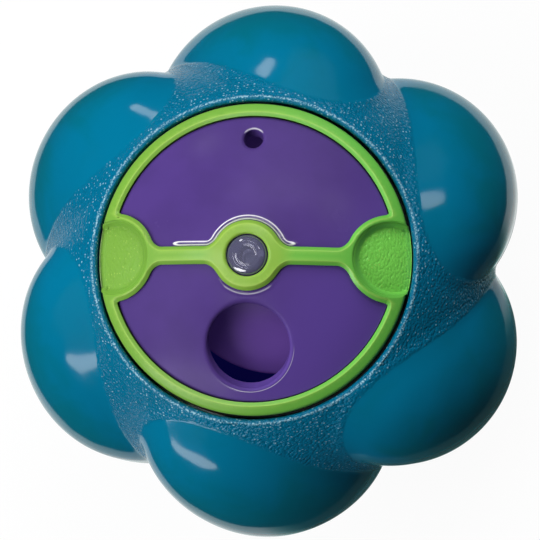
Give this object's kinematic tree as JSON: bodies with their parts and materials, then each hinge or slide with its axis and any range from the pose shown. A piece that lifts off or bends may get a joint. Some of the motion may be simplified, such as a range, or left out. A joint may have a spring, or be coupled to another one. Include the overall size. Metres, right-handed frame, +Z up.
{
  "type": "dog treat dispenser",
  "caption": "Hollow toy ball with swirled glossy lobes and a domed twist-in lid; treats roll out of a round hole in the lid past a turning shutter.",
  "frame": {"origin": "centre of the flat that the ball stands on, on the lid's axis", "axes": "+Z up along the lid's axis, +X along the lid's crossbar, +Y from the treat hole towards the small hole"},
  "size_m": [0.1242, 0.134, 0.0819],
  "materials": {
    "teal": "glossy lobes, pebbled web between them",
    "purple": "polished",
    "lime": "satin, scoops pebbled",
    "clear": "clear polished plastic",
    "dark_plastic": "as moulded",
    "soft_grey": "matt",
    "steel": "plain spring steel"
  },
  "bodies": {
    "shell": {"front_shell": "teal", "rear_shell": "teal", "bayonet_ring": "dark_plastic"},
    "seal": {"lid_seal": "soft_grey"},
    "lid": {"lug_ring": "purple", "lid_panel": "purple", "grip_frame": "lime", "pivot_pin": "clear", "friction_washer": "soft_grey", "spring_washer": "steel", "retaining_clip": "steel"},
    "shutter": {"shutter": "purple"}
  },
  "joints": [
    {"name": "lid_twist", "type": "hinge", "parent": "shell", "child": "seal", "pos_m": [0, 0, 0.064], "axis": [0, 0, 1], "range_deg": [-40, 0]},
    {"name": "lid_lift", "type": "slide", "parent": "seal", "child": "lid", "axis": [0, 0, 1], "range_m": [0, 0.04]},
    {"name": "shutter_turn", "type": "hinge", "parent": "lid", "child": "shutter", "pos_m": [0, 0, 0.071], "axis": [0, 0, 1], "range_deg": [-58, 120]}
  ]
}
